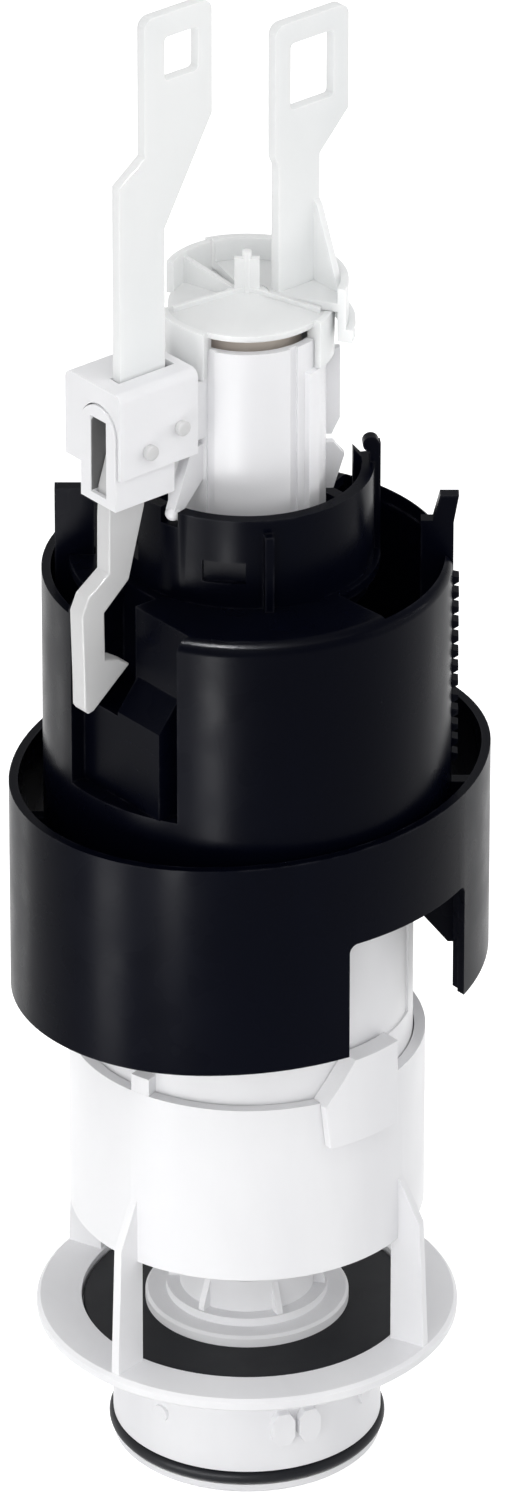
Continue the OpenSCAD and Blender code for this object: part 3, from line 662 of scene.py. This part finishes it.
@dataclass
class OverflowTube:
    """Lifting tube with its seal, float, cap and full-flush rod.

    Sizes are in millimetres, and angles in degrees from +X.
    """

    body: str = "valve_tube"
    tube_edge: float = 0.25
    plate_edge: float = 0.3
    seal_edge: float = 0.4
    cap_edge: float = 0.25
    rod_edge: float = 0.4
    # Sizes of the piece that paints light into the overflow slot
    slot_light_inner: float = 11.1
    slot_light_outer: float = 12.4
    slot_light_bottom: float = 266.0
    slot_light_top: float = 279.8
    slot_light_start: float = 189.5
    slot_light_end: float = 300.5
    slot_light_steps: int = 36

    def build(self, workshop: Workshop) -> None:
        """Makes and dresses the tube and what it lifts, apart from the trigger block, and adds the piece
        that paints light into the overflow slot.

        Args:
            workshop: Maker of the pieces.
        """
        workshop.soften("overflow_tube", self.body, WHITE, self.tube_edge)
        workshop.soften("seal_plate", self.body, WHITE, self.plate_edge)
        workshop.soften("main_seal", self.body, RUBBER, self.seal_edge)
        workshop.soften("tube_cap", self.body, MILKY, self.cap_edge)
        workshop.soften("full_flush_rod", self.body, MILKY, self.rod_edge)
        for node in ("seal_clamp", "main_float", "float_clip"):
            workshop.keep(node, WHITE)
        self._slot_painted_light(workshop)

    def _slot_painted_light(self, workshop: Workshop) -> None:
        """Adds a curved piece that shows through the overflow slot: painted light, a warm pale colour
        standing for light that comes through the translucent tube.

        Args:
            workshop: Maker of the pieces.
        """
        profile = (
            (self.slot_light_inner, self.slot_light_bottom),
            (self.slot_light_outer, self.slot_light_bottom),
            (self.slot_light_outer, self.slot_light_top),
            (self.slot_light_inner, self.slot_light_top),
        )
        turn = self.slot_light_end - self.slot_light_start
        corners = []
        for step in range(self.slot_light_steps + 1):
            angle = math.radians(self.slot_light_start + turn * step / self.slot_light_steps)
            out = Vector((math.cos(angle), math.sin(angle), 0.0))
            corners += [out * radius + Vector((0.0, 0.0, height)) for radius, height in profile]
        faces = tube_faces(self.slot_light_steps + 1, len(profile))
        workshop.fit("slot_painted_light", self.body, SLOT_LIGHT, corners, faces)


@dataclass
class TriggerBlock:
    """Cover and channel on the tube's bracket, with two pins, in millimetres.

    The profile of a pin's head gives its radius and how far it stands out, from the root to the front.
    """

    body: str = "valve_tube"
    cover_edge: float = 0.3
    channel_edge: float = 0.25
    head_profile: tuple[tuple[float, float], ...] = (
        (1.5, 0.0),
        (1.7, 0.1),
        (1.7, 0.75),
        (1.62, 0.95),
        (1.4, 1.08),
        (0.7, 1.18),
    )
    head_steps: int = 40
    head_overlap: float = 0.05
    # Place of the dark plate that paints the shade inside the channel
    shade_x: tuple[float, float] = (-42.2, -35.0)
    shade_y: tuple[float, float] = (0.68, 0.84)
    shade_z: tuple[float, float] = (249.2, 266.8)
    shade_chamfer: float = 1.0

    def build(self, workshop: Workshop) -> None:
        """Makes and dresses the block, the pins with their heads and the dark plate that paints shade
        inside the channel.

        Args:
            workshop: Maker of the pieces.
        """
        workshop.soften("trigger_cover", self.body, WHITE, self.cover_edge)
        workshop.soften("trigger_channel", self.body, WHITE, self.channel_edge)
        for pin in ("lever_pin", "guide_pin"):
            workshop.keep(pin, GREY)
            self._head(workshop, pin)
        self._channel_painted_shade(workshop)

    def _head(self, workshop: Workshop, pin: str) -> None:
        """Adds a rounded head to the front end of a pin.

        Args:
            workshop: Maker of the pieces.
            pin: Node of the pin.
        """
        low, high = (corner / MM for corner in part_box(pin))
        middle = (low + high) / 2.0
        root = low.y + self.head_overlap
        corners = []
        for radius, reach in self.head_profile:
            for step in range(self.head_steps):
                angle = 2.0 * math.pi * step / self.head_steps
                across, up = radius * math.cos(angle), radius * math.sin(angle)
                corners.append(Vector((middle.x + across, root - reach, middle.z + up)))
        faces = tube_faces(len(self.head_profile), self.head_steps)
        workshop.fit(f"{pin}_head", self.body, GREY, corners, faces)

    def _channel_painted_shade(self, workshop: Workshop) -> None:
        """Adds a dark plate on one inner wall of the channel, with its upper outer corner cut off: painted
        shade, where the channel's hollow lies in shade.

        Args:
            workshop: Maker of the pieces.
        """
        (left, right), (bottom, top) = self.shade_x, self.shade_z
        outline = (
            (left, bottom),
            (right, bottom),
            (right, top),
            (left + self.shade_chamfer, top),
            (left, top - self.shade_chamfer),
        )
        corners = [Vector((x, y, z)) for y in self.shade_y for x, z in outline]
        workshop.fit("channel_painted_shade", self.body, SHADE, corners, tube_faces(2, len(outline)))


@dataclass
class HalfFlushRod:
    """Milky rod that slides in the trigger block, with the rounding of its edges in millimetres."""

    body: str = "half_rod"
    edge: float = 0.4

    def build(self, workshop: Workshop) -> None:
        """Makes and dresses the rod."""
        workshop.soften("half_flush_rod", self.body, MILKY, self.edge)


@dataclass
class TriggerLever:
    """Grey lever that hangs from the trigger block, with the rounding of its edges in millimetres."""

    body: str = "lever"
    edge: float = 0.35

    def build(self, workshop: Workshop) -> None:
        """Makes and dresses the lever."""
        workshop.soften("trigger_lever", self.body, GREY, self.edge)


@dataclass
class Lamp:
    """A rectangular lamp that looks at the valve."""

    name: str
    azimuth: float
    elevation: float
    distance: float
    width: float
    height: float
    power: float
    aim: float = 0.17
    gloss_only: bool = False
    spread: float = 180.0

    def build(self) -> None:
        """Makes the lamp, which lights highlights alone where it is so marked."""
        data = bpy.data.lights.new(self.name, "AREA")
        data.shape = "RECTANGLE"
        data.size = self.width
        data.size_y = self.height
        data.energy = self.power
        data.spread = math.radians(self.spread)
        lamp = bpy.data.objects.new(self.name, data)
        bpy.context.scene.collection.objects.link(lamp)
        target = Vector((0.0, 0.0, self.aim))
        lamp.location = target + direction(self.azimuth, self.elevation) * self.distance
        lamp.rotation_euler = (lamp.location - target).to_track_quat("Z", "Y").to_euler()
        lamp.visible_camera = False
        lamp.visible_diffuse = not self.gloss_only


def direction(azimuth: float, elevation: float) -> Vector:
    """Unit vector towards a place round the valve, by degrees from -Y and above the horizon."""
    a, e = math.radians(azimuth), math.radians(elevation)
    return Vector((math.sin(a) * math.cos(e), -math.cos(a) * math.cos(e), math.sin(e)))


@dataclass
class Studio:
    """Camera, floor, world and lamps."""

    camera_azimuth: float = -39.5
    camera_elevation: float = 28.4
    camera_distance: float = 2.6
    camera_aim: float = 0.17
    focal_px: float = 11921.0
    aim_px: tuple[float, float] = (247.0, 758.0)
    sensor: float = 36.0
    floor_size: float = 14.0
    floor_white: float = 0.8
    floor_glow: float = 0.75
    world_level: float = 0.92
    lamps: tuple[Lamp, ...] = (
        Lamp(
            "key",
            azimuth=-50.0, elevation=24.0, distance=1.2,
            width=0.6, height=0.6, power=1.2, aim=0.22,
        ),
        Lamp(
            "fill",
            azimuth=45.0, elevation=12.0, distance=1.2,
            width=0.6, height=0.6, power=1.5, aim=0.24,
        ),
        Lamp(
            "top_strip",
            azimuth=-15.0, elevation=58.0, distance=0.45,
            width=0.5, height=0.02, power=0.3, aim=0.21,
        ),
        Lamp(
            "low_fill",
            azimuth=-72.0, elevation=0.0, distance=0.4,
            width=0.2, height=0.14, power=0.36, aim=0.075,
        ),
        Lamp(
            "tube_fill",
            azimuth=66.0, elevation=4.0, distance=0.4,
            width=0.06, height=0.06, power=0.0035, aim=0.25, spread=13.0,
        ),
        Lamp(
            "rim_strip",
            azimuth=-69.0, elevation=64.0, distance=0.35,
            width=0.12, height=0.02, power=0.22, aim=0.205, gloss_only=True, spread=24.0,
        ),
        Lamp(
            "front_strip",
            azimuth=-57.0, elevation=0.0, distance=0.24,
            width=0.04, height=0.07, power=0.34, aim=0.1, gloss_only=True,
        ),
        Lamp(
            "left_strip",
            azimuth=-92.0, elevation=0.0, distance=0.26,
            width=0.07, height=0.14, power=0.42, aim=0.075, gloss_only=True,
        ),
        Lamp(
            "far_strip",
            azimuth=-160.0, elevation=0.0, distance=0.24,
            width=0.025, height=0.24, power=0.06, aim=0.125,
        ),
        Lamp(
            "right_strip",
            azimuth=84.0, elevation=0.0, distance=0.24,
            width=0.012, height=0.24, power=0.02, aim=0.125,
        ),
    )

    def build(self) -> None:
        """Makes the whole studio."""
        self._camera()
        self._floor()
        self._world()
        for lamp in self.lamps:
            lamp.build()
        bpy.context.scene.view_settings.view_transform = "Standard"

    def _camera(self) -> None:
        """Places the camera at the photograph's angle."""
        data = bpy.data.cameras.new("camera")
        data.sensor_fit = "AUTO"
        data.sensor_width = self.sensor
        data.lens = self.sensor * self.focal_px / IMAGE_H
        data.shift_x = (IMAGE_W / 2 - self.aim_px[0]) / IMAGE_H
        data.shift_y = (self.aim_px[1] - IMAGE_H / 2) / IMAGE_H
        camera = bpy.data.objects.new("camera", data)
        bpy.context.scene.collection.objects.link(camera)
        target = Vector((0.0, 0.0, self.camera_aim))
        towards = direction(self.camera_azimuth, self.camera_elevation)
        camera.location = target + towards * self.camera_distance
        camera.rotation_euler = (camera.location - target).to_track_quat("Z", "Y").to_euler()
        bpy.context.scene.camera = camera

    def _floor(self) -> None:
        """Makes the pale floor, which keeps the valve's shadow."""
        half = self.floor_size / 2
        mesh = bpy.data.meshes.new("floor")
        corners = [(-half, -half, 0.0), (half, -half, 0.0), (half, half, 0.0), (-half, half, 0.0)]
        mesh.from_pydata(corners, [], [(0, 1, 2, 3)])
        floor = bpy.data.objects.new("floor", mesh)
        bpy.context.scene.collection.objects.link(floor)
        material = bpy.data.materials.new("floor")
        material.use_nodes = True
        tree = material.node_tree
        tree.nodes.clear()
        matt = add_node(tree, "ShaderNodeBsdfDiffuse", {"Color": (*(self.floor_white,) * 3, 1.0)})
        seen = background_ray(tree)
        strength = add_node(tree, "ShaderNodeMath", {0: seen, 1: self.floor_glow}, operation="MULTIPLY")
        glow = add_node(tree, "ShaderNodeEmission", {"Strength": strength.outputs[0]})
        both = add_node(tree, "ShaderNodeAddShader", {0: matt.outputs[0], 1: glow.outputs[0]})
        add_node(tree, "ShaderNodeOutputMaterial", {"Surface": both.outputs[0]})
        mesh.materials.append(material)

    def _world(self) -> None:
        """Makes the even light round the valve, white where it is seen."""
        world = bpy.data.worlds.new("studio")
        bpy.context.scene.world = world
        world.use_nodes = True
        tree = world.node_tree
        tree.nodes.clear()
        seen = background_ray(tree)
        level = add_node(
            tree, "ShaderNodeMapRange", {"Value": seen, "To Min": self.world_level, "To Max": 1.0}
        )
        background = add_node(tree, "ShaderNodeBackground", {"Strength": level.outputs["Result"]})
        add_node(tree, "ShaderNodeOutputWorld", {"Surface": background.outputs[0]})


def background_ray(tree: bpy.types.NodeTree) -> bpy.types.NodeSocket:
    """One for rays that show the background: camera, glossy and transmission rays.

    Args:
        tree: Tree of the floor's material or the world.

    Returns:
        The socket that tells.
    """
    path = add_node(tree, "ShaderNodeLightPath")
    some = add_node(
        tree,
        "ShaderNodeMath",
        {0: path.outputs["Is Camera Ray"], 1: path.outputs["Is Glossy Ray"]},
        operation="MAXIMUM",
    )
    every = add_node(
        tree,
        "ShaderNodeMath",
        {0: some.outputs[0], 1: path.outputs["Is Transmission Ray"]},
        operation="MAXIMUM",
    )
    return every.outputs[0]


def main() -> None:
    """Builds the studio, the finishes and the sub-assemblies, in this order."""
    logging.basicConfig(level=logging.INFO, format="%(name)s: %(message)s")
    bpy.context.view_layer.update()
    Studio().build()
    workshop = Workshop()
    for sub_assembly in (
        OutletBasket(),
        FloatHousing(),
        VolumeSleeve(),
        OverflowTube(),
        TriggerBlock(),
        HalfFlushRod(),
        TriggerLever(),
    ):
        sub_assembly.build(workshop)


if __name__ == "__main__":
    main()
